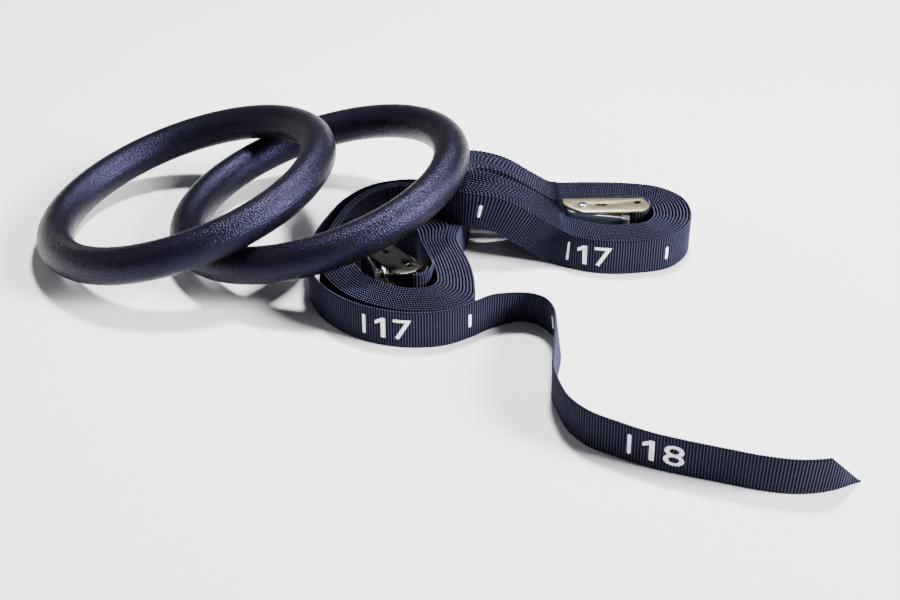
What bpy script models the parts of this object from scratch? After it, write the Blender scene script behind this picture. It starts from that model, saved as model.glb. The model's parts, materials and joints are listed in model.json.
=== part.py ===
# A pair of gymnastic rings lying on a floor with their two coiled straps.
# Metres, +Z up. The floor is z = 0, +X is to the right as seen from the front, +Y is away.
# The front strap lies on the floor, the rear strap has its left end on the front coil,
# the right ring leans on the rear coil, and the left ring lies on the right one.
from math import asin, atan2, ceil, cos, floor, pi, radians, sin, tau

import bmesh
import bpy
import numpy as np
from mathutils import Matrix, Vector

# Rings, both alike: a moulded tube bent into a hoop, made as two half shells
tube_radius = 0.0135
hoop_radius = 0.104
shell_wall = 0.004
seam_gap = 0.0003
lip_height = 0.0016
right_ring_place = (-0.0636, 0.0947)
left_ring_fore_and_aft = 0.0937
support_angle = radians(18)
hoop_steps = 44
tube_steps = 8
bore_steps = 4

# Webbing
strap_width = 0.0275
strap_thickness = 0.0015
samples_per_station = 2
resting_gap = 0.0003
stack_gap = 0.0006

# Cam buckles, both alike, lying on one cheek: x runs along the buckle from the cam
# axle to the anchor pin, y towards the base plate, z up across the webbing
front_buckle_place = (-0.0188, 0.0278, radians(-55.5))
rear_buckle_place = (0.1345, 0.0853, radians(1.8))
webbing_play = 0.0006
sheet_metal = 0.0017
base_edge = 0.0095
nose_outline = [(-0.0137, 0.0012), (-0.0100, -0.0037), (-0.0004, -0.0119)]
heel_reach = 0.0468
heel_arc_back = 0.0072
heel_arc = (heel_reach - heel_arc_back, -0.0010, 0.0107)
axle_radius = 0.0025
axle_head_radius = 0.0034
axle_head_height = 0.0009
head_dome = 0.0003
anchor_to_edge = 0.0051
anchor_place = (heel_reach - anchor_to_edge, 0.0027)
anchor_radius = 0.0027
anchor_bore_radius = 0.0019
anchor_recess = 0.0003
running_gap = 0.0003
spring_slot = (0.0145, -0.0005, 0.0045, 0.0019)
throat = (-0.0072, 0.0015)
cam_side_gap = 0.0007
arm_heading = radians(-14.3)
arm_length = 0.0338

# Each coil winds outwards, counter-clockwise from above. A station gives the hollow's
# edge (x, y), the heading in degrees along which the turns pile up, and the slack
# between neighbouring turns there.
front_stations = [
    (0.0248, -0.0092, -26, 0.0010),
    (0.0203, 0.0158, 0, 0.0007),
    (0.0148, 0.0408, 11, 0.0006),
    (0.0130, 0.0660, 18, 0.0014),
    (0.0120, 0.0900, 42, 0.0021),
    (-0.0050, 0.1000, 84, 0.0014),
    (-0.0180, 0.0840, 140, 0.0009),
    (-0.0300, 0.0430, 166, 0.0007),
    (-0.0317, 0.0108, 197, 0.0006),
    (-0.0177, -0.0122, 240, 0.0008),
    (0.0043, -0.0237, 284, 0.0011),
    (0.0213, -0.0212, 318, 0.0013),
]

# The inner turns close in behind the buckle, and the others reach further back
front_inner_turns = 8.9
front_inner_stations = front_stations[:2] + [
    (0.0142, 0.0408, 11, 0.0006),
    (0.0112, 0.0560, 19, 0.0013),
    (0.0050, 0.0655, 58, 0.0011),
    (-0.0075, 0.0670, 96, 0.0009),
    (-0.0200, 0.0590, 132, 0.0009),
] + front_stations[7:]
front_first_turn = 1 / 24
front_turns = 12 + 11 / 12
front_loose_from = 12
front_loose_gap = 0.0065
loose_start = 0.30
loose_span = 0.62

heel_room = 0.0052
heel_corner_room = 0.0003
rear_heel = rear_buckle_place[0] + heel_reach
beyond_arm_tip = 0.0140
below_arm_tip = 0.00615
below_arm = 0.01165
rear_arm_tip = (rear_buckle_place[0] + arm_length * cos(arm_heading),
                rear_buckle_place[1] + arm_length * sin(arm_heading))
rear_stations = [
    (rear_heel + heel_room, 0.0900, -2, 0.0010),
    (rear_heel - heel_corner_room, 0.1010, 56, 0.0009),
    (0.1550, 0.1035, 85, 0.0009),
    (0.1203, 0.1030, 90, 0.0009),
    (0.0853, 0.1000, 95, 0.0008),
    (0.0593, 0.1025, 108, 0.0010),
    (0.0525, 0.0997, 175, 0.0009),
    (0.0600, 0.0960, 242, 0.0017),
    (0.0993, 0.0948, 251, 0.0019),
    (0.1225, 0.0788, 243, 0.0008),
    (0.1480, rear_arm_tip[1] - below_arm, 264, 0.0006),
    (max(rear_heel, rear_arm_tip[0] + beyond_arm_tip), rear_arm_tip[1] - below_arm_tip,
     304, 0.0008),
]
rear_first_turn = 1 / 24
rear_turns = 12.5

# The rear coil's left end is lifted onto the front coil, and comes down between these
lift_ends = 0.0520
floor_starts = 0.1200

# The front strap's free tail: (x, y, lean of the top edge to the printed side in degrees)
tail_route = [
    (0.0653, -0.0322, 3),
    (0.0753, -0.0272, 9),
    (0.0873, -0.0252, 12),
    (0.0953, -0.0292, 9),
    (0.1020, -0.0362, 6),
    (0.1072, -0.0490, 6),
    (0.1088, -0.0680, 9),
    (0.1056, -0.0885, 6),
    (0.1014, -0.1065, 1),
    (0.1010, -0.1180, 2),
    (0.1035, -0.1310, 4),
    (0.1095, -0.1510, 4),
    (0.1185, -0.1635, 3),
    (0.1353, -0.1745, 4),
    (0.1553, -0.1850, 5),
    (0.1753, -0.1922, 6),
    (0.1953, -0.1985, 7),
    (0.2153, -0.2050, 7),
    (0.2353, -0.2085, 7),
    (0.2520, -0.2070, 7),
]
tail_tip = (0.2763, -0.1972)
tip_height = 0.0015

# The lever: a toothed cam and a thumb arm in one piece
teeth = 9
teeth_from = radians(112)
teeth_to = radians(200)
cam_radius_at_start = 0.0090
cam_rise = 0.0038
cam_largest_radius = 0.0119
tooth_depth = 0.0009
hub_outline = [(0.0015, -0.0086), (0.0022, -0.0046), (0.0050, -0.0010), (0.0048, 0.0020),
               (0.0024, 0.0046), (-0.0012, 0.0066)]
arm_face = -0.00835
arm_thickness = 0.0016
arm_start = 0.0103
cam_foot = (-0.0090, -0.0065)
pad_grip = 0.0032
pad_start = arm_length - pad_grip
pad_length = 0.0060
pad_low = -0.0118
pad_high = -0.0045

# The lever's return spring, wound round the axle in a notch in the cam
spring_radius = 0.0044
wire_radius = 0.00055
spring_turns = 4
spring_pitch = 0.0018
spring_notch_radius = 0.0068
spring_notch_width = 0.0100
spring_leg_length = 0.0130

# Webbing end: it turns round the anchor pin and is doubled back on itself. The lead-in's
# x is counted from the buckle's heel.
wrap_gap = 0.0004
fold_length = 0.030
fold_gap = 0.0009
fold_closes_over = 0.013
front_lead_in = [(-0.0013, -0.0010), (0.0032, 0.0000), (0.0072, 0.0035), (0.0067, 0.0105)]
rear_lead_in = [(-0.0013, -0.0008), (0.0025, 0.0006), (0.0048, 0.0042)]
lead_in_flat = 0.015
lead_in_drop = 0.065
round_steps = 16


def clear_scene():
    for old in list(bpy.data.objects):
        bpy.data.objects.remove(old, do_unlink=True)


def plastic_or_metal(name, colour, roughness, metallic):
    material = bpy.data.materials.new(name)
    material.use_nodes = True
    shader = material.node_tree.nodes["Principled BSDF"]
    shader.inputs["Base Color"].default_value = (*colour, 1.0)
    shader.inputs["Roughness"].default_value = roughness
    shader.inputs["Metallic"].default_value = metallic
    return material


def finish_of(name, kind):
    finishes = {
        "ring": ((0.028, 0.026, 0.042), 0.45, 0.0),
        "webbing": ((0.016, 0.016, 0.030), 0.85, 0.0),
        "zinc": ((0.62, 0.56, 0.44), 0.32, 1.0),
        "steel": ((0.60, 0.61, 0.62), 0.28, 1.0),
        "pad": ((0.010, 0.012, 0.016), 0.55, 0.0),
    }
    return plastic_or_metal(name + "_finish", *finishes[kind])


def add_object(name, data, kind, parent=None):
    piece = bpy.data.objects.new(name, data)
    bpy.context.scene.collection.objects.link(piece)
    data.materials.append(finish_of(name, kind))
    piece.parent = parent
    return piece


def mesh_from(shape, name, smooth_angle=radians(35)):
    bmesh.ops.recalc_face_normals(shape, faces=shape.faces)
    mesh = bpy.data.meshes.new(name)
    shape.to_mesh(mesh)
    shape.free()
    mesh.shade_smooth()
    mesh.set_sharp_from_angle(angle=smooth_angle)
    return mesh


def prism(outline, low, high):
    """A straight-sided block with the given outline, from z = low to z = high."""
    shape = bmesh.new()
    corners = [shape.verts.new((x, y, low)) for x, y in outline]
    face = shape.faces.new(corners)
    grown = bmesh.ops.extrude_face_region(shape, geom=[face])
    top = [item for item in grown["geom"] if isinstance(item, bmesh.types.BMVert)]
    bmesh.ops.translate(shape, verts=top, vec=(0, 0, high - low))
    return shape


def turned(profile, centre, steps=round_steps):
    """A closed profile of (radius, z) points spun round the vertical line at centre."""
    shape = bmesh.new()
    verts = [shape.verts.new((centre[0] + radius, centre[1], z)) for radius, z in profile]
    closed = zip(verts, verts[1:] + verts[:1])
    edges = [shape.edges.new(pair) for pair in closed]
    bmesh.ops.spin(shape, geom=verts + edges, cent=(*centre, 0), axis=(0, 0, 1),
                   angle=tau, steps=steps, use_merge=True)
    bmesh.ops.remove_doubles(shape, verts=shape.verts, dist=1e-6)
    return shape


def cutter(name, shape, parent):
    piece = bpy.data.objects.new(name, mesh_from(shape, name))
    bpy.context.scene.collection.objects.link(piece)
    piece.parent = parent
    piece.hide_render = True
    piece.display_type = "WIRE"
    return piece


def cut(piece, tool):
    boolean = piece.modifiers.new(tool.name, "BOOLEAN")
    boolean.operation = "DIFFERENCE"
    boolean.object = tool


def arc(centre_x, centre_y, radius, start, end, steps):
    angles = [start + (end - start) * step / steps for step in range(steps + 1)]
    return [(centre_x + radius * cos(a), centre_y + radius * sin(a)) for a in angles]


# Rings

def half_shell_profile(lip_inside):
    """Section of one half of the hollow tube, as (radius from the hoop's axis, z)."""
    bore = tube_radius - shell_wall
    rim = seam_gap / 2
    step_radius = tube_radius - shell_wall / 2
    outside = arc(hoop_radius, 0, tube_radius, asin(rim / tube_radius),
                  pi - asin(rim / tube_radius), tube_steps)
    if lip_inside:
        step_radius -= seam_gap
        lip = rim + lip_height - 2 * seam_gap
        reach = -lip
    else:
        lip = rim + lip_height
        reach = lip
    bore_angle = asin(reach / bore)
    inside = arc(hoop_radius, 0, bore, pi - bore_angle, bore_angle, bore_steps)
    left_step = [(hoop_radius - step_radius, rim), (hoop_radius - step_radius, reach)]
    right_step = [(hoop_radius + step_radius, reach), (hoop_radius + step_radius, rim)]
    return outside + left_step + inside + right_step


def make_ring(name, place):
    centre = Vector((place[0], place[1], tube_radius + hoop_radius * sin(ring_tilt)))
    holder = bpy.data.objects.new(name, None)
    bpy.context.scene.collection.objects.link(holder)
    holder.location = centre
    holder.rotation_euler = (0, -ring_tilt, 0)
    upper = turned(half_shell_profile(lip_inside=False), (0, 0), hoop_steps)
    lower = turned(half_shell_profile(lip_inside=True), (0, 0), hoop_steps)
    bmesh.ops.transform(lower, matrix=Matrix.Scale(-1, 4, (0, 0, 1)), verts=lower.verts)
    add_object(name + "_upper_shell", mesh_from(upper, name + "_upper"), "ring", holder)
    add_object(name + "_lower_shell", mesh_from(lower, name + "_lower"), "ring", holder)


# Webbing

def smooth_between(before, start, end, after, share):
    """A point on the smooth curve that passes through start and end."""
    return 0.5 * (2 * start + (end - before) * share
                  + (2 * before - 5 * start + 4 * end - after) * share ** 2
                  + (3 * start - before - 3 * end + after) * share ** 3)


def with_midpoints(route):
    """The same points with one more between each two, on a smooth curve."""
    points = []
    for index in range(len(route) - 1):
        before = route[max(index - 1, 0)]
        after = route[min(index + 2, len(route) - 1)]
        points.append(route[index])
        points.append(smooth_between(before, route[index], route[index + 1], after, 0.5))
    return points + [route[-1]]


def turn_point(stations, turn, loose_from=None):
    """The webbing's middle line after so many turns, seen from above."""
    count = len(stations)
    position = (turn % 1) * count
    first = floor(position)
    near = []
    for step in (-1, 0, 1, 2):
        x, y, heading, slack = stations[(first + step) % count]
        near.append((x, y, cos(radians(heading)), sin(radians(heading)), slack))
    share = position - first
    x, y, out_x, out_y, slack = (smooth_between(*values, share) for values in zip(*near))
    out = Vector((out_x, out_y)).normalized()
    point = Vector((x, y)) + out * (strap_thickness + slack) * turn
    if loose_from is not None and turn > loose_from:
        along = (turn - loose_from - loose_start) / loose_span
        if 0 < along < 1:
            point += out * front_loose_gap * sin(pi * along) ** 2
    return point


def in_buckle(place, x, y):
    return Vector(place[:2]) + Matrix.Rotation(place[2], 2) @ Vector((x, y))


def run_lengths(points):
    lengths = [0.0]
    for before, after in zip(points, points[1:]):
        lengths.append(lengths[-1] + (after - before).length)
    return lengths


def sideways(points, index):
    """The unit vector to the left of the route at one of its points."""
    before = points[max(index - 1, 0)]
    after = points[min(index + 1, len(points) - 1)]
    ahead = (after - before).normalized()
    return Vector((-ahead.y, ahead.x))


def coil_route(stations, buckle_place, lead_in, first_turn, last_turn, loose_from=None,
               inner_stations=(), inner_turns=0):
    """From the doubled end, round the anchor pin, then outwards turn by turn."""
    wrap_radius = anchor_radius + wrap_gap + strap_thickness / 2
    pin_x, pin_y = anchor_place
    below_pin = in_buckle(buckle_place, pin_x, pin_y - wrap_radius)
    joining = [in_buckle(buckle_place, heel_reach + x, y) for x, y in lead_in]
    per_turn = len(stations) * samples_per_station
    first = ceil(first_turn * per_turn)
    last = round(last_turn * per_turn)
    turns = [turn_point(inner_stations if step / per_turn < inner_turns else stations,
                        step / per_turn, loose_from)
             for step in range(first, last + 1)]
    leading = with_midpoints([below_pin] + joining + turns[:1])
    out = leading[:-1] + turns
    lengths = run_lengths(out)

    closed_spacing = strap_thickness + fold_gap
    folded = []
    for index, length in enumerate(lengths):
        if length > fold_length:
            break
        opening = (1 + cos(pi * min(length / fold_closes_over, 1.0))) / 2
        spacing = closed_spacing + (2 * wrap_radius - closed_spacing) * opening
        folded.append(out[index] + sideways(out, index) * spacing)
    folded[0] = in_buckle(buckle_place, pin_x, pin_y + wrap_radius)
    round_pin = [in_buckle(buckle_place, x, y)
                 for x, y in arc(pin_x, pin_y, wrap_radius, pi / 2, 3 * pi / 2, 6)[1:-1]]
    return list(reversed(folded)) + round_pin + out, len(folded) + len(round_pin)


def lift_at(x):
    """How high the rear coil's lower edge is, and how steeply it falls, at x."""
    top = strap_width + stack_gap
    along = min(max((x - lift_ends) / (floor_starts - lift_ends), 0.0), 1.0)
    slope = -top * pi / 2 / (floor_starts - lift_ends) * sin(pi * along)
    return top * (1 + cos(pi * along)) / 2, slope


def coil_rows(route, pin_index, lifted):
    """Lower and upper edge of the webbing at each point of a coil's route."""
    in_channel = axle_head_height + running_gap + sheet_metal + webbing_play
    lengths = run_lengths(route)
    drop_from = lengths[pin_index] + lead_in_flat
    rows = []
    for point, length in zip(route, lengths):
        along = min(max((length - drop_from) / lead_in_drop, 0.0), 1.0)
        height = in_channel * (1 + cos(pi * along)) / 2
        slope = 0.0
        if lifted:
            lift, slope = lift_at(point.x)
            height += lift
        low = Vector((point.x, point.y, height))
        rows.append((low, low + strap_width * Vector((-slope, 0, 1)).normalized()))
    return rows


def tail_rows(start, ahead):
    """The free tail, from where it leaves the coil to its slanted tip."""
    route = [Vector((*start, 0)) + ahead.to_3d() * resting_gap]
    route += [Vector(point) for point in tail_route]
    points = with_midpoints(route)
    flat = [point.to_2d() for point in points]
    rows = []
    for index, point in enumerate(points):
        lean = radians(point.z)
        out = -sideways(flat, index)
        rise = strap_thickness / 2 * sin(lean)
        low = Vector((point.x, point.y, rise))
        up = Vector((out.x * sin(lean), out.y * sin(lean), cos(lean)))
        rows.append((low, low + strap_width * up))
    tip = Vector((*tail_tip, rows[-1][0].z))
    rows.append((tip, tip + Vector((0, 0, tip_height))))
    return rows


def ribbon(name, rows):
    shape = bmesh.new()
    ends = [shape.verts.new(corner) for corner in rows[0]]
    edge = shape.edges.new(ends)
    for low, high in rows[1:]:
        grown = bmesh.ops.extrude_edge_only(shape, edges=[edge])["geom"]
        edge = next(item for item in grown if isinstance(item, bmesh.types.BMEdge))
        lower, upper = sorted(edge.verts, key=lambda vert: vert.co.z)
        lower.co = low
        upper.co = high
    piece = add_object(name, mesh_from(shape, name, pi), "webbing")
    thickness = piece.modifiers.new("thickness", "SOLIDIFY")
    thickness.thickness = strap_thickness
    thickness.offset = 0
    thickness.use_even_offset = True
    return piece


def print_least_gap(name, route):
    """Least clear space between stretches of one coil, measured from above."""
    points = np.array([tuple(point) for point in route])
    steps = np.linalg.norm(np.diff(points, axis=0), axis=1)
    along = np.concatenate([[0.0], np.cumsum(steps)])
    start = points[:-1]
    run = points[1:] - start
    least = 1.0
    skip = pi * (anchor_radius + wrap_gap + strap_thickness)
    for point, length in zip(points, along):
        share = np.einsum("ij,ij->i", point - start, run) / np.einsum("ij,ij->i", run, run)
        nearest = start + run * np.clip(share, 0, 1)[:, None]
        away = np.linalg.norm(point - nearest, axis=1)
        far = np.minimum(abs(along[:-1] - length), abs(along[1:] - length)) > skip
        least = min(least, away[far].min())
    gap = (least - strap_thickness) * 1000
    print(f"{name}: least gap to itself {gap:.2f} mm, webbing {along[-1]:.2f} m")


# Cam buckles

def cheek_outline():
    heel_x, heel_y, heel_radius = heel_arc
    heel = arc(heel_x, heel_y, heel_radius, -pi / 2, radians(15), 6)
    return nose_outline + heel + [(heel_reach, base_edge), (nose_outline[0][0], base_edge)]


def buckle_levels():
    low = axle_head_height + running_gap
    inside_low = low + sheet_metal
    inside_high = inside_low + strap_width + 2 * webbing_play
    return low, inside_low, inside_high, inside_high + sheet_metal


def make_frame(name, holder):
    low, inside_low, inside_high, high = buckle_levels()
    frame = add_object(name + "_frame", mesh_from(prism(cheek_outline(), low, high), name),
                       "zinc", holder)
    past = 0.005
    inner_face = base_edge - sheet_metal
    left = nose_outline[0][0] - past
    right = heel_arc[0] + heel_arc[2] + past
    front = nose_outline[-1][1] - past
    channel = prism([(left, front), (right, front), (right, inner_face), (left, inner_face)],
                    inside_low, inside_high)
    window = prism([(throat[0], inner_face - past), (throat[1], inner_face - past),
                    (throat[1], base_edge + past), (throat[0], base_edge + past)],
                   inside_low + webbing_play / 2, inside_high - webbing_play / 2)
    axle_hole = prism(arc(0, 0, axle_radius + running_gap, 0, tau, round_steps)[:-1],
                      low - past, high + past)
    anchor_hole = prism(arc(*anchor_place, anchor_radius + running_gap, 0, tau,
                            round_steps)[:-1], low - past, high + past)
    slot_x, slot_y, slot_half, slot_radius = spring_slot
    run = slot_half - slot_radius
    slot = prism(arc(slot_x + run, slot_y, slot_radius, -pi / 2, pi / 2, 5)
                 + arc(slot_x - run, slot_y, slot_radius, pi / 2, 3 * pi / 2, 5),
                 low - past, high + past)
    tools = {"channel": channel, "throat": window, "axle_hole": axle_hole,
             "anchor_hole": anchor_hole, "slot": slot}
    for tool_name, shape in tools.items():
        cut(frame, cutter(f"{name}_{tool_name}", shape, holder))


def on_arm(along, across):
    """A point given along the lever's arm and across it, towards the base plate."""
    turn = Matrix.Rotation(arm_heading, 2)
    return tuple(turn @ Vector((along, across)))


def lever_outline():
    outline = [on_arm(arm_length, arm_face - arm_thickness), on_arm(arm_length, arm_face),
               on_arm(arm_start, arm_face)]
    outline += hub_outline
    for tooth in range(teeth):
        angle = teeth_from + (teeth_to - teeth_from) * tooth / (teeth - 1)
        radius = min(cam_radius_at_start + cam_rise * (angle - teeth_from), cam_largest_radius)
        valley = angle - (teeth_to - teeth_from) / (teeth - 1) / 2
        if tooth:
            outline.append(((radius - tooth_depth) * cos(valley),
                            (radius - tooth_depth) * sin(valley)))
        outline.append((radius * cos(angle), radius * sin(angle)))
    return outline + [cam_foot, on_arm(0, arm_face - arm_thickness)]


def make_lever(name, holder):
    low, inside_low, inside_high, high = buckle_levels()
    lever = add_object(name + "_cam_lever",
                       mesh_from(prism(lever_outline(), inside_low + cam_side_gap,
                                       inside_high - cam_side_gap), name), "steel", holder)
    bore = prism(arc(0, 0, axle_radius + running_gap, 0, tau, round_steps)[:-1], low, high)
    cut(lever, cutter(name + "_bore", bore, holder))
    middle = (low + high) / 2
    notch = prism(arc(0, 0, spring_notch_radius, 0, tau, round_steps)[:-1],
                  middle - spring_notch_width / 2, middle + spring_notch_width / 2)
    cut(lever, cutter(name + "_spring_notch", notch, holder))

    mouth = arm_length + running_gap
    below = arm_face - arm_thickness - running_gap
    above = arm_face + running_gap
    pad_end = pad_start + pad_length
    pad = [on_arm(pad_start, below), on_arm(pad_start, pad_low), on_arm(pad_end, pad_low),
           on_arm(pad_end, pad_high), on_arm(pad_start, pad_high), on_arm(pad_start, above),
           on_arm(mouth, above), on_arm(mouth, below)]
    add_object(name + "_thumb_pad",
               mesh_from(prism(pad, inside_low + cam_side_gap, inside_high - cam_side_gap),
                         name + "_pad"), "pad", holder)


def make_pins(name, holder):
    low, inside_low, inside_high, high = buckle_levels()
    top_seat = high + running_gap
    bottom_seat = low - running_gap
    top = top_seat + axle_head_height
    crown = axle_head_radius * 0.7
    shaft = [(0, bottom_seat - axle_head_height), (crown, bottom_seat - axle_head_height),
             (axle_head_radius, bottom_seat - axle_head_height + head_dome),
             (axle_head_radius, bottom_seat), (axle_radius, bottom_seat),
             (axle_radius, top_seat), (axle_head_radius, top_seat),
             (axle_head_radius, top - head_dome), (crown, top), (0, top)]
    axle = bmesh.new()
    verts = [axle.verts.new((radius, 0, z)) for radius, z in shaft]
    edges = [axle.edges.new(pair) for pair in zip(verts, verts[1:])]
    bmesh.ops.spin(axle, geom=verts + edges, cent=(0, 0, 0), axis=(0, 0, 1), angle=tau,
                   steps=round_steps, use_merge=True)
    bmesh.ops.remove_doubles(axle, verts=axle.verts, dist=1e-6)
    add_object(name + "_cam_axle", mesh_from(axle, name + "_axle"), "steel", holder)
    pin = turned([(anchor_bore_radius, low + anchor_recess),
                  (anchor_radius, low + anchor_recess),
                  (anchor_radius, high - anchor_recess),
                  (anchor_bore_radius, high - anchor_recess)], anchor_place)
    add_object(name + "_anchor_pin", mesh_from(pin, name + "_pin"), "steel", holder)


def make_spring(name, holder):
    low, inside_low, inside_high, high = buckle_levels()
    middle = (low + high) / 2
    bottom = middle - spring_pitch * spring_turns / 2
    steps = 9 * spring_turns
    points = [(*on_arm(spring_leg_length, arm_face + wire_radius + running_gap), bottom)]
    for step in range(steps + 1):
        angle = -pi / 2 - tau * (spring_turns - 0.5) * step / steps
        points.append((spring_radius * cos(angle), spring_radius * sin(angle),
                       bottom + spring_pitch * spring_turns * step / steps))
    points.append((spring_leg_length, base_edge - sheet_metal - wire_radius - running_gap,
                   points[-1][2]))
    curve = bpy.data.curves.new(name + "_spring", "CURVE")
    curve.dimensions = "3D"
    line = curve.splines.new("POLY")
    line.points.add(len(points) - 1)
    for knot, point in zip(line.points, points):
        knot.co = (*point, 1)
    curve.bevel_depth = wire_radius
    curve.bevel_resolution = 1
    curve.use_fill_caps = True
    add_object(name + "_lever_spring", curve, "steel", holder)


def make_buckle(name, place):
    holder = bpy.data.objects.new(name + "_buckle", None)
    bpy.context.scene.collection.objects.link(holder)
    holder.location = (place[0], place[1], 0)
    holder.rotation_euler = (0, 0, place[2])
    make_frame(name, holder)
    make_lever(name, holder)
    make_pins(name, holder)
    make_spring(name, holder)


# Where the rings lie follows from what they lie on: the right ring touches the floor at
# its left and leans on the lifted coil, and the left ring rests on it, moved to the left
lifted_top = 2 * strap_width + stack_gap + resting_gap
ring_tilt = asin(lifted_top / (hoop_radius * (1 + cos(support_angle))))
ring_shift = (2 * tube_radius + resting_gap) / sin(ring_tilt)
left_ring_place = (right_ring_place[0] - ring_shift, left_ring_fore_and_aft)

clear_scene()

make_ring("right_ring", right_ring_place)
make_ring("left_ring", left_ring_place)

front_route, front_pin = coil_route(front_stations, front_buckle_place, front_lead_in,
                                    front_first_turn, front_turns, front_loose_from,
                                    front_inner_stations, front_inner_turns)
rear_route, rear_pin = coil_route(rear_stations, rear_buckle_place, rear_lead_in,
                                  rear_first_turn, rear_turns)
ribbon("front_strap_coil", coil_rows(front_route, front_pin, lifted=False))
ribbon("rear_strap_coil", coil_rows(rear_route, rear_pin, lifted=True))
leaving = (front_route[-1] - front_route[-2]).normalized()
ribbon("front_strap_tail", tail_rows(front_route[-1], leaving))
print_least_gap("front_strap_coil", front_route)
print_least_gap("rear_strap_coil", rear_route)

make_buckle("front", front_buckle_place)
make_buckle("rear", rear_buckle_place)
print(f"ring tilt {ring_tilt * 180 / pi:.2f} degrees, shift {ring_shift * 1000:.1f} mm")
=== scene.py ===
# Two gymnastic rings lying on a floor with their coiled straps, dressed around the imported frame.
# Metres throughout, in the frame's own axes: +X right, +Y away, +Z up, floor at z = 0.
import json
from bisect import bisect_right
from math import asin, ceil, cos, floor, pi, radians, sin, tau

import bmesh
import bpy
from mathutils import Matrix, Vector


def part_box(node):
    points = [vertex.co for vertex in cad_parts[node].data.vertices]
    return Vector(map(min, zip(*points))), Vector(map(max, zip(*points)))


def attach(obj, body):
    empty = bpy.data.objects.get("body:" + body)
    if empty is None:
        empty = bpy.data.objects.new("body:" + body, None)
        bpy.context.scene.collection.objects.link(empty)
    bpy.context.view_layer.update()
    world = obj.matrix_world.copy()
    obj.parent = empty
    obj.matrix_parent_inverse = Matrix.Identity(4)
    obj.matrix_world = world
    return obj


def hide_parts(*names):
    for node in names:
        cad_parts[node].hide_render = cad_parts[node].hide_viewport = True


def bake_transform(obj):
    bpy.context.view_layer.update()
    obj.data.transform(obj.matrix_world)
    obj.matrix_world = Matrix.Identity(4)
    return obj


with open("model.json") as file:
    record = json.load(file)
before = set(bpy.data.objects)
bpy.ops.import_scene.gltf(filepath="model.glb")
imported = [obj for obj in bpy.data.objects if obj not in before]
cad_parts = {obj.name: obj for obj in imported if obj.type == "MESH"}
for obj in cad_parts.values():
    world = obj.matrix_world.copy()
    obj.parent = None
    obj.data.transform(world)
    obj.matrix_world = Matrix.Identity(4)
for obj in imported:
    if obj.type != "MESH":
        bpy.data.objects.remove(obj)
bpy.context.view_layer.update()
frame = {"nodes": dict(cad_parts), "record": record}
print("frame loaded:", len(frame["nodes"]), "nodes")


# Colours are written as sRGB hex values and turned to linear here
def linearColour(code):
    parts = [int(code[i:i + 2], 16) / 255 for i in (0, 2, 4)]
    return [p / 12.92 if p <= 0.04045 else ((p + 0.055) / 1.055) ** 2.4 for p in parts] + [1.0]


def addNode(tree, kind, settings=None, inputs=None):
    node = tree.nodes.new(kind)
    for name, value in (settings or {}).items():
        setattr(node, name, value)
    for name, value in (inputs or {}).items():
        if isinstance(value, bpy.types.NodeSocket):
            tree.links.new(value, node.inputs[name])
        else:
            node.inputs[name].default_value = value
    return node


def newMaterial(name, look):
    material = bpy.data.materials.new(name)
    material.use_nodes = True
    tree = material.node_tree
    shader = tree.nodes["Principled BSDF"]
    for socket, value in look.items():
        shader.inputs[socket].default_value = value
    return material, tree, shader


# Noise with features about this many millimetres wide
def noise(tree, vector, size, detail):
    return addNode(tree, "ShaderNodeTexNoise", inputs={
        "Vector": vector, "Scale": 1000 / size, "Detail": detail}).outputs["Fac"]


# A mix node takes its colours at inputs 6 and 7 and gives the result at output 2
def mixTones(tree, share, first, second):
    return addNode(tree, "ShaderNodeMix", {"data_type": "RGBA"}, {
        "Factor": share, 6: linearColour(first), 7: linearColour(second)}).outputs[2]


# Camera, at the photograph's height and angle
camera = {
    "place": (0.0353, -0.8122, 0.5095),
    "lookDown": 32.0,      # degrees below the horizon
    "lens": 54.0,          # mm on a 36 mm wide sensor
}


def makeCamera():
    data = bpy.data.cameras.new("camera")
    data.lens = camera["lens"]
    data.sensor_width = 36.0
    data.clip_start = 0.01
    item = bpy.data.objects.new("camera", data)
    item.location = camera["place"]
    item.rotation_euler = (radians(90 - camera["lookDown"]), 0, 0)
    bpy.context.scene.collection.objects.link(item)
    bpy.context.scene.camera = item


makeCamera()
print("camera set")


# Studio: a pale floor, a small lamp overhead, a strong wide one far to the right, a faint one left
studio = {
    "floorSize": 6.0,
    "floorColour": "D0D0D2",   # a light grey that the lamps show almost white
    "floorSpeckle": "CBCBCE",
    "floorDrop": 0.0002,       # below z = 0, so that nothing shares its plane
    "worldColour": "E9ECF4",
    "worldStrength": 0.20,
    "lights": [            # name, place, aimed at, size, watts, colour
        ("overhead", (0.20, 0.48, 1.45), (-0.05, 0.05, 0.0), (0.24, 0.24), 88.0, "FFFFFF"),
        ("fromRight", (4.0, -1.2, 2.1), (0.0, 0.0, 0.0), (1.6, 1.6), 1500.0, "FFFFFF"),
        ("fromLeft", (-1.5, 0.1, 1.0), (0.0, 0.0, 0.0), (0.6, 0.6), 5.0, "FFFFFF"),
    ],
}


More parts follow.
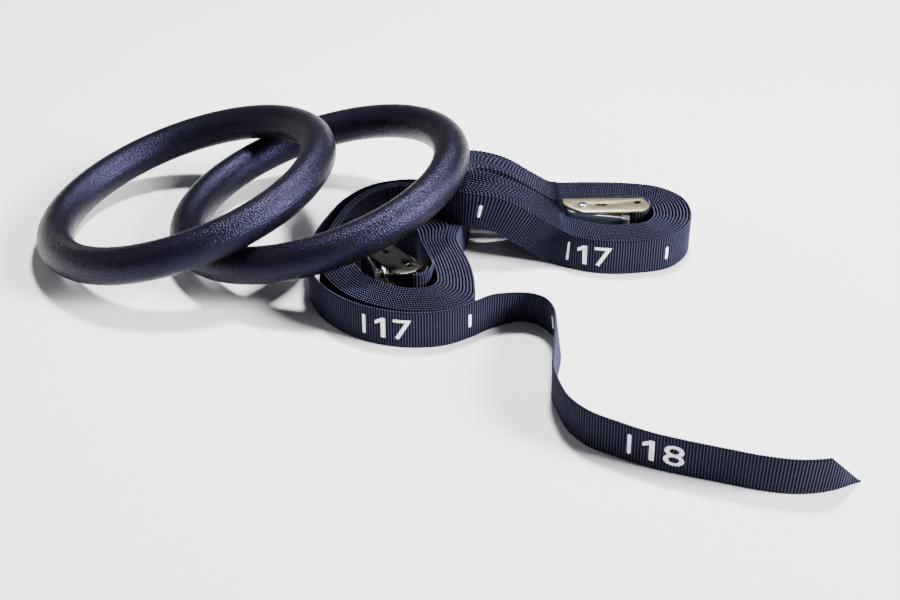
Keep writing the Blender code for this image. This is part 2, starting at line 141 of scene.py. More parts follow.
def makeStudio():
    world = bpy.data.worlds.new("studio")
    bpy.context.scene.world = world
    world.use_nodes = True
    background = world.node_tree.nodes["Background"]
    background.inputs["Color"].default_value = linearColour(studio["worldColour"])
    background.inputs["Strength"].default_value = studio["worldStrength"]
    for name, place, aim, size, watts, colour in studio["lights"]:
        data = bpy.data.lights.new(name, "AREA")
        data.shape = "RECTANGLE"
        data.size, data.size_y = size
        data.energy = watts
        data.color = linearColour(colour)[:3]
        lamp = bpy.data.objects.new(name, data)
        lamp.location = place
        lamp.rotation_euler = (Vector(aim) - Vector(place)).to_track_quat("-Z", "Y").to_euler()
        bpy.context.scene.collection.objects.link(lamp)
    shape = bmesh.new()
    bmesh.ops.create_grid(shape, x_segments=2, y_segments=2, size=studio["floorSize"] / 2)
    ground = finishShape(shape, "floor")
    ground.location.z = -studio["floorDrop"]
    material, tree, shader = newMaterial("paintedFloor", {"Roughness": 0.85})
    speckle = addNode(tree, "ShaderNodeTexNoise", inputs={"Scale": 40.0, "Detail": 3.0})
    tone = mixTones(tree, speckle.outputs["Fac"], studio["floorColour"], studio["floorSpeckle"])
    tree.links.new(tone, shader.inputs["Base Color"])
    ground.data.materials.append(material)


def finishShape(shape, name, smoothAngle=None):
    mesh = bpy.data.meshes.new(name)
    shape.to_mesh(mesh)
    shape.free()
    if smoothAngle:
        mesh.shade_smooth()
        mesh.set_sharp_from_angle(angle=radians(smoothAngle))
    item = bpy.data.objects.new(name, mesh)
    bpy.context.scene.collection.objects.link(item)
    return item


# Corners less than a micrometre apart become one
def weld(shape):
    bmesh.ops.remove_doubles(shape, verts=shape.verts, dist=1e-6)


makeStudio()
print("studio made")


# ABS, injection moulded in a pebbled mould: near black, its sheen broken into violet specks,
# painted as highlight on the pebble crests with painted shade in the hollows.
# The real pebbles are about 0.8 mm, drawn at 1.3 mm so that they show
def mouldedPlastic():
    material, tree, shader = newMaterial("mouldedAbs", {
        "IOR": 1.5, "Specular IOR Level": 0.19, "Specular Tint": linearColour("B8B2FF")})
    place = addNode(tree, "ShaderNodeTexCoord")
    pebbles = addNode(tree, "ShaderNodeTexVoronoi", {"feature": "F1"}, {
        "Vector": place.outputs["Object"], "Scale": 1000 / 1.3})
    grit = noise(tree, place.outputs["Object"], 1.0, 2.0)
    patches = noise(tree, place.outputs["Object"], 24, 2.0)
    crests = addNode(tree, "ShaderNodeMapRange", {"interpolation_type": "SMOOTHSTEP"}, {
        "Value": pebbles.outputs["Distance"], "From Min": 0.15, "From Max": 0.75,
        "To Min": 1.0, "To Max": 0.0})
    relief = addNode(tree, "ShaderNodeMath", {"operation": "MULTIPLY_ADD"}, {
        0: grit, 1: 0.9, 2: crests.outputs[0]})
    bump = addNode(tree, "ShaderNodeBump", inputs={
        "Strength": 1.0, "Distance": 0.00019, "Height": relief.outputs[0]})
    specks = addNode(tree, "ShaderNodeMapRange", inputs={
        "Value": relief.outputs[0], "From Min": 0.5, "From Max": 1.6})
    # Painted highlight: the base colour is lighter on the pebble crests and darker in the hollows
    # between, in large patches
    paintedCrestSpecks = addNode(tree, "ShaderNodeMath", {"operation": "MULTIPLY"}, {
        0: specks.outputs[0], 1: patches})
    tone = mixTones(tree, paintedCrestSpecks.outputs[0], "040406", "0E0D16")
    gloss = addNode(tree, "ShaderNodeMapRange", inputs={
        "Value": specks.outputs[0], "To Min": 0.44, "To Max": 0.20})
    tree.links.new(tone, shader.inputs["Base Color"])
    tree.links.new(gloss.outputs[0], shader.inputs["Roughness"])
    tree.links.new(bump.outputs["Normal"], shader.inputs["Normal"])
    return material


# Polypropylene webbing, woven with cross ribs: near black, each rib catching a violet line of
# painted highlight, with painted shade in the grooves between.
def wovenWebbing():
    material, tree, shader = newMaterial("wovenWebbing", {
        "IOR": 1.45, "Specular IOR Level": 0.2, "Specular Tint": linearColour("B4B6F0")})
    flat = addNode(tree, "ShaderNodeUVMap", {"uv_map": "flat"})
    crest = addNode(tree, "ShaderNodeAttribute", {"attribute_name": "crest"})
    yarns = addNode(tree, "ShaderNodeTexWave", {"bands_direction": "Y"}, {
        "Vector": flat.outputs["UV"], "Scale": 1000 / 0.9 / tau, "Distortion": 2.0,
        "Detail": 1.0, "Detail Scale": 2.0})
    fibres = noise(tree, flat.outputs["UV"], 1.0, 3.0)
    relief = addNode(tree, "ShaderNodeMath", {"operation": "ADD"}, {
        0: yarns.outputs["Fac"], 1: fibres})
    bump = addNode(tree, "ShaderNodeBump", inputs={
        "Strength": 0.4, "Distance": 0.0001, "Height": relief.outputs[0]})
    # Painted highlight on the rib crests and selvedge beads, painted shade in the grooves, read
    # from the crest attribute
    raised = addNode(tree, "ShaderNodeMapRange", {"interpolation_type": "SMOOTHSTEP"}, {
        "Value": crest.outputs["Fac"], "From Min": 0.40, "From Max": 0.95})
    uneven = addNode(tree, "ShaderNodeMapRange", inputs={
        "Value": fibres, "From Min": 0.3, "From Max": 0.7,
        "To Min": 0.45, "To Max": 1.0})
    lit = addNode(tree, "ShaderNodeMath", {"operation": "MULTIPLY"}, {
        0: raised.outputs[0], 1: uneven.outputs[0]})
    tone = mixTones(tree, lit.outputs[0], "020203", "45465E")
    gloss = addNode(tree, "ShaderNodeMapRange", inputs={
        "Value": lit.outputs[0], "To Min": 0.80, "To Max": 0.45})
    tree.links.new(tone, shader.inputs["Base Color"])
    tree.links.new(gloss.outputs[0], shader.inputs["Roughness"])
    tree.links.new(bump.outputs["Normal"], shader.inputs["Normal"])
    return material


# Screen-printed ink: flat white, a little worn on the ribs
def printedInk():
    material, tree, shader = newMaterial("printedInk", {"Roughness": 0.6, "IOR": 1.45})
    place = addNode(tree, "ShaderNodeTexCoord")
    wear = noise(tree, place.outputs["Object"], 0.9, 3.0)
    tone = mixTones(tree, wear, "C9C9DC", "FFFFFF")
    tree.links.new(tone, shader.inputs["Base Color"])
    return material


# Plated steel: satin between a light and a dark tone, with fine rolling lines
def platedSteel(name, light, dark, roughness):
    material, tree, shader = newMaterial(name, {"Metallic": 1.0, "Roughness": roughness})
    place = addNode(tree, "ShaderNodeTexCoord")
    lines = addNode(tree, "ShaderNodeMapping", inputs={
        "Vector": place.outputs["Object"], "Scale": (1.0, 0.08, 1.0)})
    streaks = noise(tree, lines.outputs["Vector"], 0.4, 2.0)
    cloud = noise(tree, place.outputs["Object"], 9, 2.0)
    tone = mixTones(tree, cloud, dark, light)
    gloss = addNode(tree, "ShaderNodeMapRange", inputs={
        "Value": streaks, "To Min": roughness - 0.06, "To Max": roughness + 0.08})
    bump = addNode(tree, "ShaderNodeBump", inputs={
        "Strength": 0.15, "Distance": 0.00005, "Height": streaks})
    tree.links.new(tone, shader.inputs["Base Color"])
    tree.links.new(gloss.outputs[0], shader.inputs["Roughness"])
    tree.links.new(bump.outputs["Normal"], shader.inputs["Normal"])
    return material


def blackMoulding():
    material, tree, shader = newMaterial("blackMoulding", {"IOR": 1.5})
    place = addNode(tree, "ShaderNodeTexCoord")
    grain = noise(tree, place.outputs["Object"], 0.5, 2.0)
    bump = addNode(tree, "ShaderNodeBump", inputs={
        "Strength": 0.3, "Distance": 0.00008, "Height": grain})
    gloss = addNode(tree, "ShaderNodeMapRange", inputs={
        "Value": grain, "To Min": 0.45, "To Max": 0.65})
    shader.inputs["Base Color"].default_value = linearColour("111217")
    tree.links.new(gloss.outputs[0], shader.inputs["Roughness"])
    tree.links.new(bump.outputs["Normal"], shader.inputs["Normal"])
    return material


ringPlastic = mouldedPlastic()
webbing = wovenWebbing()
ink = printedInk()
rearPlate = platedSteel("champagneZinc", "D8CDAE", "BFB08C", 0.30)
# The front plate is the rear plate's zinc plating drawn darker and greyer: painted shade
frontPlateShaded = platedSteel("zincWithPaintedShade", "9A978C", "66645A", 0.20)
leverSteel = platedSteel("coolSteel", "AEB6C2", "8B96A6", 0.30)
pinSteel = platedSteel("rivetSteel", "D2D6DE", "B4B9C4", 0.20)
# The anchor pins are coloured near black as painted shade, so that their ends read as the dark
# holes in the cheeks
shadedPinSteel = platedSteel("holeShadeSteel", "3A3A40", "26262C", 0.35)
padPlastic = blackMoulding()
print("materials made")


# Rings: each a hollow tube in two half shells, lying tilted as in the frame
ring = {
    "tubeRadius": 0.0135,
    "hoopRadius": 0.104,
    "wall": 0.004,
    "seam": 0.00012,       # the parting line between the halves
    "tubeSteps": 22,
    "boreSteps": 8,
    "hoopSteps": 180,
}


def ringPlace(side):
    lower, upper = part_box(side + "_ring_lower_shell"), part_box(side + "_ring_upper_shell")
    centre = (Vector(map(min, lower[0], upper[0])) + Vector(map(max, lower[1], upper[1]))) / 2
    top = max(lower[1].z, upper[1].z) - centre.z
    tilt = asin((top - ring["tubeRadius"]) / ring["hoopRadius"])
    return Matrix.Translation(centre) @ Matrix.Rotation(-tilt, 4, "Y")


def makeHalfShell(side, half):
    outer, bore = ring["tubeRadius"], ring["tubeRadius"] - ring["wall"]
    rim = ring["seam"] / 2
    shape = bmesh.new()
    profile = []
    for step in range(ring["tubeSteps"] + 1):
        angle = asin(rim / outer) + (pi - 2 * asin(rim / outer)) * step / ring["tubeSteps"]
        profile.append(shape.verts.new((ring["hoopRadius"] + outer * cos(angle), 0,
                                        outer * sin(angle))))
    for step in range(ring["boreSteps"] + 1):
        angle = pi - asin(rim / bore) - (pi - 2 * asin(rim / bore)) * step / ring["boreSteps"]
        profile.append(shape.verts.new((ring["hoopRadius"] + bore * cos(angle), 0,
                                        bore * sin(angle))))
    edges = [shape.edges.new(pair) for pair in zip(profile, profile[1:] + profile[:1])]
    bmesh.ops.spin(shape, geom=profile + edges, cent=(0, 0, 0), axis=(0, 0, 1), angle=tau,
                   steps=ring["hoopSteps"], use_merge=True)
    weld(shape)
    if half == "lower":
        bmesh.ops.rotate(shape, verts=shape.verts, cent=(0, 0, 0),
                         matrix=Matrix.Rotation(pi, 3, "X"))
    bmesh.ops.recalc_face_normals(shape, faces=shape.faces)
    bmesh.ops.transform(shape, matrix=ringPlace(side), verts=shape.verts)
    shell = finishShape(shape, f"{side}Ring{half.capitalize()}Shell", smoothAngle=40)
    shell.data.materials.append(ringPlastic)
    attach(shell, side + "_ring")
    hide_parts(f"{side}_ring_{half}_shell")


for side in ("left", "right"):
    for half in ("upper", "lower"):
        makeHalfShell(side, half)
print("rings made")


# Straps: flat webbing, ribbed and printed, then wound along its route
strap = {
    "width": 0.0275,
    "thickness": 0.0013,
    "ribPitch": 0.00192,
    "ribDepth": 0.00025,
    "selvedgeBeads": 0.0005,
    "rowsPerRib": 4,
    "stackGap": 0.0006,
    "edgeRound": 0.0009,   # height of the bevel between face and selvedge
    "edgeFlat": 0.6,       # share of the thickness that the selvedge keeps flat
    "crestMiddle": 0.42,   # painted brightness of a rib: painted shade at 0 in the valleys, painted highlight at 1 on top
    "crestSwing": 0.38,
    "tipSlant": 0.95,      # length of the slanted tip, in widths
    "tipLeast": 0.04,
}
rowStep = strap["ribPitch"] / strap["rowsPerRib"]

# A station is the hollow's edge (x, y), the heading in degrees along which the turns pile
# up, and the slack between neighbouring turns
frontStrap = {
    "stations": [
        (0.0248, -0.0092, -26, 0.0010),
        (0.0203, 0.0158, 0, 0.0007),
        (0.0148, 0.0408, 11, 0.0006),
        (0.0130, 0.0660, 18, 0.0014),
        (0.0120, 0.0900, 42, 0.0021),
        (-0.0050, 0.1000, 84, 0.0014),
        (-0.0180, 0.0840, 140, 0.0009),
        (-0.0300, 0.0430, 166, 0.0007),
        (-0.0317, 0.0108, 197, 0.0006),
        (-0.0177, -0.0122, 240, 0.0008),
        (0.0043, -0.0237, 284, 0.0011),
        (0.0213, -0.0212, 318, 0.0013),
    ],
    "innerEnd": [          # stations 2 to 6 of the inner turns, which close in sooner
        (0.0142, 0.0408, 11, 0.0006),
        (0.0112, 0.0560, 19, 0.0013),
        (0.0050, 0.0655, 58, 0.0011),
        (-0.0075, 0.0670, 96, 0.0009),
        (-0.0200, 0.0590, 132, 0.0009),
    ],
    "innerTurns": 8.9,
    "buckle": (-0.0188, 0.0278, radians(-55.5)),
    "leadIn": [(0.0455, -0.0010), (0.0500, 0.0000), (0.0540, 0.0035), (0.0535, 0.0105)],
    "turns": 12 + 11 / 12,
    "looseFrom": 12,
    "numberFromEnd": 0.4416,        # where the first number is printed, from the free end
    "marks": [(0, "17"), (1, ""), (2, ""), (4, "18")],
}
rearStrap = {
    "stations": [
        (0.1865, 0.0900, -2, 0.0010),
        (0.1810, 0.1010, 56, 0.0009),
        (0.1550, 0.1035, 85, 0.0009),
        (0.1203, 0.1030, 90, 0.0009),
        (0.0853, 0.1000, 95, 0.0008),
        (0.0593, 0.1025, 108, 0.0010),
        (0.0525, 0.0997, 175, 0.0009),
        (0.0600, 0.0960, 242, 0.0017),
        (0.0993, 0.0948, 251, 0.0019),
        (0.1225, 0.0788, 243, 0.0008),
        (0.1480, 0.0653, 264, 0.0006),
        (0.1813, 0.0708, 304, 0.0008),
    ],
    "innerEnd": [],
    "innerTurns": 0,
    "buckle": (0.1345, 0.0853, radians(1.8)),
    "leadIn": [(0.0455, -0.0008), (0.0493, 0.0006), (0.0516, 0.0042)],
    "turns": 12.5,
    "looseFrom": None,
    "numberFromEnd": 0.3672,
    "marks": [(-1, ""), (0, "17"), (1, "")],
}
winding = {
    "pitchThickness": 0.0015,    # what a turn takes up in the pile, apart from its slack
    "firstTurn": 1 / 24,
    "perTurn": 24,
    "looseGap": 0.0065,    # how far the front coil's last turn stands off at most
    "looseStart": 0.30,    # where it leaves the others, and over how much of the turn
    "looseSpan": 0.62,
    "liftEnds": 0.0520,    # x where the rear strap's rise onto the front coil ends
    "floorStarts": 0.1200,       # x from which the rear strap stands on the floor
    "pin": (0.0417, 0.0027),     # the anchor pin, in the buckle's own axes
    "pinRadius": 0.0027,
    "wrapGap": 0.0004,
    "wrapSteps": 6,
    "foldLength": 0.030,   # the end doubled back on itself
    "foldGap": 0.0009,
    "foldClosesOver": 0.013,
    "channelHeight": 0.0035,     # how high the webbing's edge stands inside the buckle
    "leadInFlat": 0.015,   # how far it keeps that height, and over how much it comes down
    "leadInDrop": 0.065,
    "curveStep": 0.0012,   # how finely the curve is traced before it is read evenly
}
tail = {                   # (x, y, lean of the top edge to the printed side in degrees)
    "route": [
        (0.0653, -0.0322, 3),
        (0.0753, -0.0272, 9),
        (0.0873, -0.0252, 12),
        (0.0953, -0.0292, 9),
        (0.1020, -0.0362, 6),
        (0.1072, -0.0490, 6),
        (0.1088, -0.0680, 9),
        (0.1056, -0.0885, 6),
        (0.1014, -0.1065, 1),
        (0.1010, -0.1180, 2),
        (0.1035, -0.1310, 4),
        (0.1095, -0.1510, 4),
        (0.1185, -0.1635, 3),
        (0.1353, -0.1745, 4),
        (0.1553, -0.1850, 5),
        (0.1753, -0.1922, 6),
        (0.1953, -0.1985, 7),
        (0.2153, -0.2050, 7),
        (0.2353, -0.2085, 7),
        (0.2520, -0.2070, 7),
    ],
    "tip": (0.2763, -0.1972),
}


def smoothBetween(before, start, end, after, share):
    return 0.5 * (2 * start + (end - before) * share
                  + (2 * before - 5 * start + 4 * end - after) * share ** 2
                  + (3 * start - before - 3 * end + after) * share ** 3)


def withMidpoints(route):
    points = []
    for index in range(len(route) - 1):
        before, after = route[max(index - 1, 0)], route[min(index + 2, len(route) - 1)]
        points.append(route[index])
        points.append(smoothBetween(before, route[index], route[index + 1], after, 0.5))
    return points + [route[-1]]


def turnPoint(coil, turn):
    stations = list(coil["stations"])
    if turn < coil["innerTurns"]:
        stations[2:7] = coil["innerEnd"]
    position = (turn % 1) * len(stations)
    first = floor(position)
    near = []
    for step in (-1, 0, 1, 2):
        x, y, heading, slack = stations[(first + step) % len(stations)]
        near.append((x, y, cos(radians(heading)), sin(radians(heading)), slack))
    x, y, outX, outY, slack = (smoothBetween(*values, position - first) for values in zip(*near))
    out = Vector((outX, outY)).normalized()
    point = Vector((x, y)) + out * (winding["pitchThickness"] + slack) * turn
    if coil["looseFrom"] is not None and turn > coil["looseFrom"]:
        along = (turn - coil["looseFrom"] - winding["looseStart"]) / winding["looseSpan"]
        if 0 < along < 1:
            point += out * winding["looseGap"] * sin(pi * along) ** 2
    return point


def inBuckle(coil, x, y):
    place = coil["buckle"]
    return Vector(place[:2]) + Matrix.Rotation(place[2], 2) @ Vector((x, y))


def runLengths(points):
    lengths = [0.0]
    for before, after in zip(points, points[1:]):
        lengths.append(lengths[-1] + (after - before).length)
    return lengths


def leftOf(points, index):
    ahead = points[min(index + 1, len(points) - 1)] - points[max(index - 1, 0)]
    return Vector((-ahead.y, ahead.x)).normalized()


# The webbing comes off its sewn end, turns round the anchor pin and winds outwards
def coilKnots(coil, lifted):
    radius = winding["pinRadius"] + winding["wrapGap"] + winding["pitchThickness"] / 2
    pinX, pinY = winding["pin"]
    joining = [inBuckle(coil, pinX, pinY - radius)]
    joining += [inBuckle(coil, x, y) for x, y in coil["leadIn"]]
    per = winding["perTurn"]
    steps = range(ceil(winding["firstTurn"] * per), round(coil["turns"] * per) + 1)
    turns = [turnPoint(coil, step / per) for step in steps]
    out = withMidpoints(joining + turns[:1])[:-1] + turns
    lengths = runLengths(out)
    closed = winding["pitchThickness"] + winding["foldGap"]
    folded = []
    for index, length in enumerate(lengths):
        if length > winding["foldLength"]:
            break
        opening = (1 + cos(pi * min(length / winding["foldClosesOver"], 1.0))) / 2
        folded.append(out[index] + leftOf(out, index) * (closed + (2 * radius - closed) * opening))
    folded[0] = inBuckle(coil, pinX, pinY + radius)
    bends = [pi / 2 + pi * step / winding["wrapSteps"] for step in range(1, winding["wrapSteps"])]
    wrap = [inBuckle(coil, pinX + radius * cos(bend), pinY + radius * sin(bend))
            for bend in bends]
    route = folded[::-1] + wrap + out
    lengths = runLengths(route)
    dropFrom = lengths[len(folded) + len(wrap)] + winding["leadInFlat"]
    knots = []
    for point, length in zip(route, lengths):
        along = min(max((length - dropFrom) / winding["leadInDrop"], 0.0), 1.0)
        height, slope = winding["channelHeight"] * (1 + cos(pi * along)) / 2, 0.0
        if lifted:
            lift, slope = liftAt(point.x)
            height += lift
        knots.append((Vector((*point, height)), Vector((-slope, 0, 1)).normalized()))
    return knots


def liftAt(x):
    top = strap["width"] + strap["stackGap"]
    run = winding["floorStarts"] - winding["liftEnds"]
    along = min(max((x - winding["liftEnds"]) / run, 0.0), 1.0)
    return top * (1 + cos(pi * along)) / 2, -top * pi / 2 / run * sin(pi * along)


def tailKnots():
    points = [Vector(item) for item in tail["route"]]
    knots = []
    for index, point in enumerate(points):
        lean = radians(point.z)
        out = -leftOf([item.to_2d() for item in points], index)
        low = Vector((point.x, point.y, strap["thickness"] / 2 * sin(lean)))
        knots.append((low, Vector((out.x * sin(lean), out.y * sin(lean), cos(lean)))))
    end = Vector((*tail["tip"], knots[-1][0].z))
    return knots + [(end, knots[-1][1])]


# A smooth curve through the knots, read at even steps
def evenRows(knots):
    places = [place for place, up in knots]
    lengths = runLengths(places)

    def slopeAt(values, index):
        if index in (0, len(values) - 1):
            other = 1 if index == 0 else index - 1
            return (values[other] - values[index]) / (lengths[other] - lengths[index])
        before, after = lengths[index] - lengths[index - 1], lengths[index + 1] - lengths[index]
        return ((values[index] - values[index - 1]) / before * after
                + (values[index + 1] - values[index]) / after * before) / (before + after)

    dense = []
    for index in range(len(knots) - 1):
        gap = lengths[index + 1] - lengths[index]
        pieces = max(2, ceil(gap / winding["curveStep"]))
        row = []
        for values in (places, [up for place, up in knots]):
            leave, arrive = slopeAt(values, index) * gap, slopeAt(values, index + 1) * gap
            row.append([values[index] * (2 * t ** 3 - 3 * t ** 2 + 1)
                        + leave * (t ** 3 - 2 * t ** 2 + t)
                        + values[index + 1] * (3 * t ** 2 - 2 * t ** 3)
                        + arrive * (t ** 3 - t ** 2)
                        for t in (k / pieces for k in range(pieces))])
        dense += list(zip(*row))
    dense.append(knots[-1])
    lengths = runLengths([place for place, up in dense])
    rows = []
    for count in range(int(lengths[-1] / rowStep) + 1):
        reach = count * rowStep
        index = min(bisect_right(lengths, reach), len(dense) - 1)
        share = (reach - lengths[index - 1]) / (lengths[index] - lengths[index - 1])
        rows.append((dense[index - 1][0].lerp(dense[index][0], share),
                     dense[index - 1][1].lerp(dense[index][1], share).normalized()))
    facing = []
    for index, (place, up) in enumerate(rows):
        ahead = rows[min(index + 1, len(rows) - 1)][0] - rows[max(index - 1, 0)][0]
        facing.append(ahead.cross(up).normalized())       # towards the printed side
    return [(place, up, out) for (place, up), out in zip(rows, facing)]


# How far the webbing's middle swings out at a rib, and how tall its edge stands there
def ribAt(row):
    phase = tau * row / strap["rowsPerRib"]
    return strap["ribDepth"] * sin(phase), strap["selvedgeBeads"] * (1 + cos(phase)) / 2


def sectionPoints():
    half, bevel = strap["thickness"] / 2, strap["edgeRound"]
    top, flat = strap["width"], half * strap["edgeFlat"]
    return [(half, bevel), (half, top - bevel), (flat, top), (-flat, top),
            (-half, top - bevel), (-half, bevel), (-flat, 0.0), (flat, 0.0)]


def windStrap(name, rows, tipRows=0):
    section = sectionPoints()
    count = len(rows) - 1
    shape = bmesh.new()
    bmesh.ops.create_grid(shape, x_segments=count, y_segments=len(section), size=0.5)
    flat = shape.loops.layers.uv.new("flat")
    crest = shape.verts.layers.float.new("crest")
    spots = {}
    for vert in shape.verts:
        row = round((vert.co.x + 0.5) * count)
        corner = round((vert.co.y + 0.5) * len(section))
        spots[vert] = (row, corner)
    for face in shape.faces:
        for loop in face.loops:
            row, corner = spots[loop.vert]
            height = section[corner % len(section)][1]
            loop[flat].uv = (row * rowStep, height)
    for vert, (row, corner) in spots.items():
        place, up, out = rows[row]
        across, height = section[corner % len(section)]
        swing, bead = ribAt(row)
        # crest paints a highlight where a rib swings out on each face and on the edge beads, and
        # shade in the grooves
        face = 1 if across > 0 else -1
        vert[crest] = strap["crestMiddle"] + strap["crestSwing"] * swing / strap["ribDepth"] * face
        if height in (0.0, strap["width"]):
            vert[crest] = bead / strap["selvedgeBeads"]
            height += bead if height else 0
        if tipRows and count - row < tipRows:
            height *= max((count - row) / tipRows, strap["tipLeast"])
        vert.co = place + out * (across + swing) + up * height
    weld(shape)
    bmesh.ops.holes_fill(shape, edges=[edge for edge in shape.edges if edge.is_boundary])
    bmesh.ops.recalc_face_normals(shape, faces=shape.faces)
    item = finishShape(shape, name, smoothAngle=50)
    item.data.materials.append(webbing)
    return item


# White marks printed on the outer face, tick by tick and number by number
marks = {
    "every": 0.0750,       # how far apart they stand along the strap
    "tick": (0.0021, 0.0100),
    "numberTick": (0.0023, 0.0152),
    "digitHeight": 0.0155,
    "digitWidths": {"1": 0.0080, "7": 0.0124, "8": 0.0124},
    "one": [(0.60, 0), (1, 0), (1, 1), (0.68, 1), (0.08, 0.81), (0.08, 0.64), (0.60, 0.77)],
    "digitsAfter": 0.0076,
    "digitGap": 0.0054,
    "boldness": 0.00003,
    "middle": 0.0140,      # height of their middle above the strap's lower edge
    "filmThickness": 0.00012,
    "filmSunk": 0.3,       # share of the film below the webbing's face
    "tickRound": 0.3,      # corner of a tick, in its widths
    "capHeight": 0.72,     # of the plain font, in its size
}


def tickShape(shape, middle, size):
    width, height = size
    low, high = marks["middle"] - height / 2, marks["middle"] + height / 2
    corner = width * marks["tickRound"]
    shape.faces.new([shape.verts.new((middle + x, y, 0)) for x, y in (
        (-width / 2, low + corner), (-width / 2 + corner, low), (width / 2 - corner, low),
        (width / 2, low + corner), (width / 2, high - corner), (width / 2 - corner, high),
        (-width / 2 + corner, high), (-width / 2, high - corner))])


def digitsShape(shape, start, words):
    height = marks["digitHeight"]
    foot = marks["middle"] - height / 2
    for digit in words:
        width = marks["digitWidths"][digit]
        if digit == "1":
            shape.faces.new([shape.verts.new((start + x * width, foot + y * height, 0))
                             for x, y in marks["one"]])
        else:
            text = bpy.data.curves.new("digit", "FONT")
            text.body, text.offset = digit, marks["boldness"]
            text.size = height / marks["capHeight"]
            text.resolution_u = 6
            item = bpy.data.objects.new("digit", text)
            bpy.context.scene.collection.objects.link(item)
            bpy.context.view_layer.update()
            mesh = bpy.data.meshes.new_from_object(item)
            corners = [vert.co for vert in mesh.vertices]
            left, right = min(c.x for c in corners), max(c.x for c in corners)
            low, high = min(c.y for c in corners), max(c.y for c in corners)
            mesh.transform(Matrix.Translation((start, foot, 0))
                           @ Matrix.Diagonal((width / (right - left), height / (high - low), 1, 1))
                           @ Matrix.Translation((-left, -low, 0)))
            shape.from_mesh(mesh)
            bpy.data.objects.remove(item)
            bpy.data.meshes.remove(mesh)
            bpy.data.curves.remove(text)
        start += width + marks["digitGap"]


def makeMarks(name, coil, rows):
    first = len(rows) * rowStep - coil["numberFromEnd"]
    shape = bmesh.new()
    for count, words in coil["marks"]:
        at = first + count * marks["every"]
        tickShape(shape, at, marks["numberTick"] if words else marks["tick"])
        if words:
            digitsShape(shape, at + marks["digitsAfter"], words)
    weld(shape)
    bmesh.ops.dissolve_limit(shape, angle_limit=radians(1), verts=shape.verts, edges=shape.edges)
    grown = bmesh.ops.extrude_face_region(shape, geom=list(shape.faces))
    top = [item for item in grown["geom"] if isinstance(item, bmesh.types.BMVert)]
    bmesh.ops.translate(shape, verts=top, vec=(0, 0, 1))
    start, end = min(v.co.x for v in shape.verts), max(v.co.x for v in shape.verts)
    for row in range(int(start / rowStep) + 1, int(end / rowStep) + 1):
        bmesh.ops.bisect_plane(shape, geom=shape.verts[:] + shape.edges[:] + shape.faces[:],
                               plane_co=(row * rowStep, 0, 0), plane_no=(1, 0, 0))
    for vert in shape.verts:
        reach = vert.co.x / rowStep
        row = int(reach)
        (place, up, out), (nextPlace, nextUp, nextOut) = rows[row], rows[row + 1]
        share = reach - row
        swing = ribAt(row)[0] * (1 - share) + ribAt(row + 1)[0] * share
        side = (strap["thickness"] / 2 + swing
                + marks["filmThickness"] * (vert.co.z - marks["filmSunk"]))
        vert.co = (place.lerp(nextPlace, share) + out.lerp(nextOut, share) * side
                   + up.lerp(nextUp, share) * vert.co.y)
    bmesh.ops.recalc_face_normals(shape, faces=shape.faces)
    item = finishShape(shape, name, smoothAngle=50)
    item.data.materials.append(ink)
    return item


def layStrap(name, body, rows, coil, nodes, tipRows=0):
    piece = windStrap(name + "Strap", rows, tipRows)
    printed = makeMarks(name + "Marks", coil, rows)
    for item in (piece, printed):
        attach(item, body)
    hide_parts(*nodes)
    print(f"{name} strap wound: {len(rows) * rowStep:.2f} m")


def makeStraps():
    front = evenRows(coilKnots(frontStrap, lifted=False) + tailKnots())
    rear = evenRows(coilKnots(rearStrap, lifted=True))
    layStrap("front", "front_strap", front, frontStrap,
             ("front_strap_coil", "front_strap_tail"),
             round(strap["width"] * strap["tipSlant"] / rowStep))
    layStrap("rear", "rear_strap", rear, rearStrap, ("rear_strap_coil",))


makeStraps()


# Buckles: the frame's nodes with their edges rounded, each in its own finish
buckle = {
    "plateRound": 0.00035,
    "leverRound": 0.00025,
    "padRound": 0.0006,
    "pinRound": 0.0002,
    "headRadius": 0.0034,
    "headHeight": 0.0009,
    "dome": 0.0006,
    "springWire": 0.0012,
    "shank": 0.74,         # radius under a rivet's head, in head radii
    "domeSteps": 8,
    "rivetSteps": 32,
    "sharpFrom": 35,       # degrees from which an edge is rounded
}


def roundedCopy(node, piece, width, material):
    shape = bmesh.new()
    shape.from_mesh(frame["nodes"][node].data)
    weld(shape)
    bmesh.ops.dissolve_limit(shape, angle_limit=radians(2), verts=shape.verts,
                             edges=shape.edges)
    sharp = [edge for edge in shape.edges
             if edge.is_manifold and edge.calc_face_angle() > radians(buckle["sharpFrom"])]
    bmesh.ops.bevel(shape, geom=sharp, offset=width, offset_type="OFFSET", segments=2,
                    profile=0.5, affect="EDGES", clamp_overlap=True, material=-1)
    bmesh.ops.triangulate(shape, faces=shape.faces)
    bmesh.ops.recalc_face_normals(shape, faces=shape.faces)
    item = finishShape(shape, piece, smoothAngle=30)
    item.data.materials.clear()
    item.data.materials.append(material)
    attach(item, bodyOf(node))
    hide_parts(node)
    return item


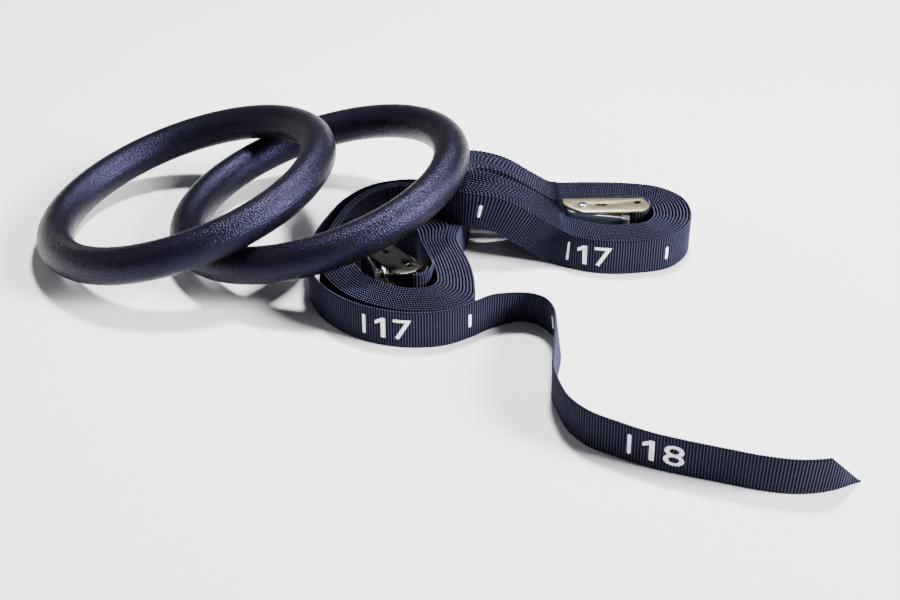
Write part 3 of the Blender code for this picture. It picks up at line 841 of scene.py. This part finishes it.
def bodyOf(node):
    bodies = frame["record"]["behaviour"]["bodies"]
    return next(body for body, nodes in bodies.items() if node in nodes)


def makeRivet(side):
    low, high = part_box(side + "_cam_axle")
    middle = (low + high) / 2
    head, height, dome = buckle["headRadius"], buckle["headHeight"], buckle["dome"]
    shape = bmesh.new()
    bends = [pi / 2 * step / buckle["domeSteps"] for step in range(buckle["domeSteps"] + 1)]
    half = [(head * sin(bend), high.z - dome * (1 - cos(bend))) for bend in bends]
    half += [(head, high.z - height), (head * buckle["shank"], high.z - height)]
    profile = half + [(radius, low.z + high.z - z) for radius, z in reversed(half)]
    verts = [shape.verts.new((middle.x + radius, middle.y, z)) for radius, z in profile]
    edges = [shape.edges.new(pair) for pair in zip(verts, verts[1:])]
    bmesh.ops.spin(shape, geom=verts + edges, cent=middle, axis=(0, 0, 1), angle=tau,
                   steps=buckle["rivetSteps"], use_merge=True)
    weld(shape)
    bmesh.ops.recalc_face_normals(shape, faces=shape.faces)
    item = finishShape(shape, side + "Rivet", smoothAngle=40)
    item.data.materials.append(pinSteel)
    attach(item, side + "_strap")
    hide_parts(side + "_cam_axle")


# The real return spring twists, its lower leg going with the lever and its upper one with the
# frame; here it is copied as it stands and attached to no body
def makeSpring(side):
    shape = bmesh.new()
    shape.from_mesh(frame["nodes"][side + "_lever_spring"].data)
    weld(shape)
    bmesh.ops.recalc_face_normals(shape, faces=shape.faces)
    item = finishShape(shape, side + "Spring", smoothAngle=60)
    item.data.materials.clear()
    item.data.materials.append(pinSteel)
    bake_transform(item)
    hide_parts(side + "_lever_spring")


for side, plate in (("front", frontPlateShaded), ("rear", rearPlate)):
    roundedCopy(side + "_frame", side + "BucklePlate", buckle["plateRound"], plate)
    roundedCopy(side + "_cam_lever", side + "Lever", buckle["leverRound"], leverSteel)
    roundedCopy(side + "_thumb_pad", side + "ThumbPad", buckle["padRound"], padPlastic)
    roundedCopy(side + "_anchor_pin", side + "AnchorPin", buckle["pinRound"], shadedPinSteel)
    makeRivet(side)
    makeSpring(side)
print("buckles finished")
